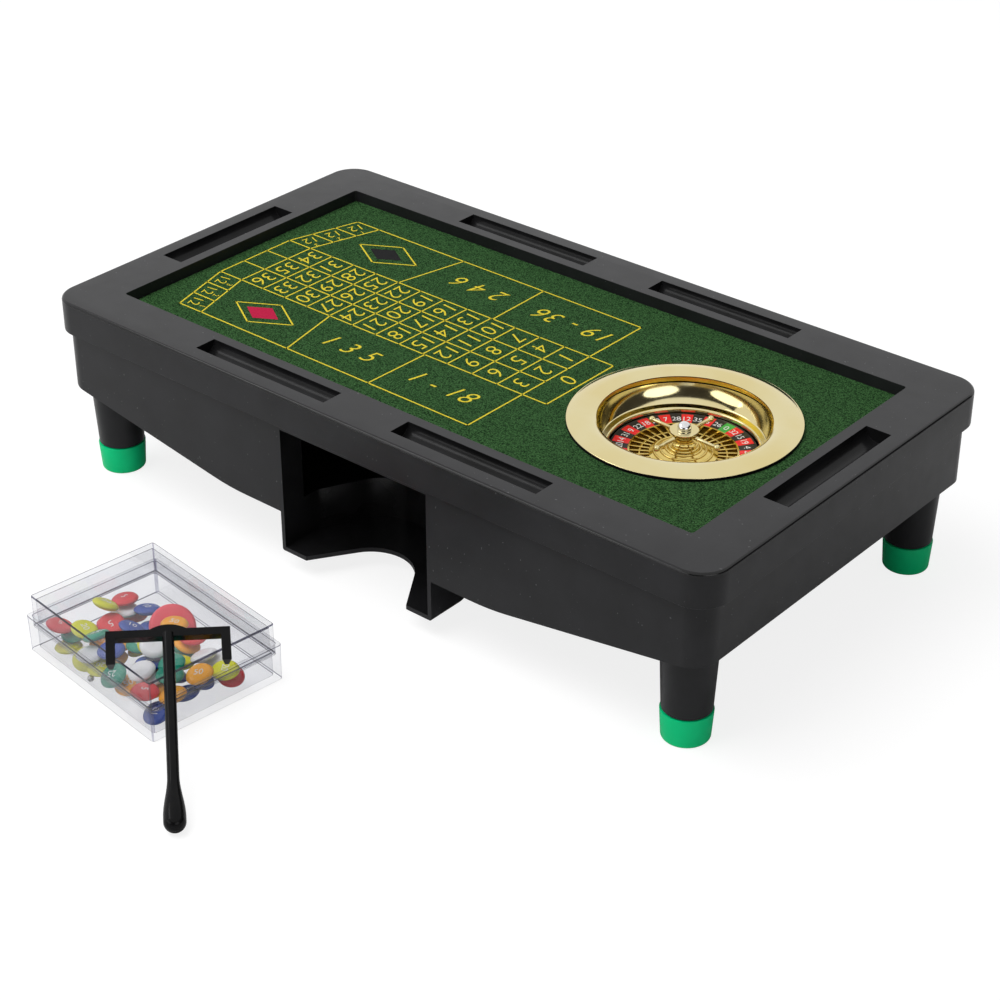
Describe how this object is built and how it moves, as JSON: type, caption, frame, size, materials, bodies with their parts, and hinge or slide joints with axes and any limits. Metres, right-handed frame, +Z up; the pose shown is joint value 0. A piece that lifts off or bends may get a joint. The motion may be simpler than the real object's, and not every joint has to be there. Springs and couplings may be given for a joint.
{
  "type": "tabletop roulette set",
  "caption": "Tabletop roulette set: case table on four legs with sunk felt, chip troughs, front pocket and spinning wheel, with a clear chip box and a rake.",
  "frame": {"origin": "on the floor, under the middle of the whole set's bounding box", "axes": "X along the table with the wheel at +X, Y towards the table's back, Z up"},
  "size_m": [0.33, 0.3204, 0.0796],
  "materials": {
    "black_plastic": "satin moulded",
    "green_felt": "short felt",
    "screw_steel": "zinc plated",
    "pin_steel": "ground",
    "gold_plated": "vacuum plated gold",
    "chrome_plated": "vacuum plated chrome",
    "printed_ring": "printed, glossy",
    "clear_plastic": "clear polystyrene",
    "ball_steel": "polished",
    "green_plastic": "satin moulded",
    "red_plastic": "gloss moulded",
    "blue_plastic": "gloss moulded",
    "orange_plastic": "gloss moulded",
    "yellow_plastic": "gloss moulded",
    "white_plastic": "gloss moulded"
  },
  "bodies": {
    "table": {"case_body": "black_plastic", "table_top": "black_plastic", "felt_mat": "green_felt", "frame_screws": "screw_steel", "wheel_rim": "gold_plated", "wheel_bowl": "gold_plated", "spindle": "pin_steel", "leg_front_left": "black_plastic", "leg_front_right": "black_plastic", "leg_back_left": "black_plastic", "leg_back_right": "black_plastic", "foot_cap_front_left": "green_plastic", "foot_cap_front_right": "green_plastic", "foot_cap_back_left": "green_plastic", "foot_cap_back_right": "green_plastic"},
    "rotor": {"rotor": "gold_plated", "number_ring": "printed_ring", "turret": "gold_plated", "turret_arms": "gold_plated", "turret_ball": "chrome_plated"},
    "chip_box": {"chip_box_base": "clear_plastic", "marker_disc": "red_plastic", "steel_balls": "ball_steel", "chips_blue": "blue_plastic", "chips_orange": "orange_plastic", "chips_yellow": "yellow_plastic", "chips_red": "red_plastic", "chips_white": "white_plastic", "chips_green": "green_plastic"},
    "box_lid": {"chip_box_lid": "clear_plastic"},
    "rake": {"croupier_rake": "black_plastic"}
  },
  "joints": [
    {"name": "rotor_spin", "type": "hinge", "parent": "table", "child": "rotor", "pos_m": [0.0895, 0.07068, 0.0625], "axis": [0, 0, 1], "continuous": true},
    {"name": "chip_box_lift", "type": "slide", "parent": "table", "child": "chip_box", "axis": [0, 0, 1], "range_m": [0, 0.06]},
    {"name": "lid_lift", "type": "slide", "parent": "chip_box", "child": "box_lid", "axis": [0, 0, 1], "range_m": [0, 0.03]},
    {"name": "rake_lift", "type": "slide", "parent": "box_lid", "child": "rake", "axis": [0, 0, 1], "range_m": [0, 0.03]}
  ]
}
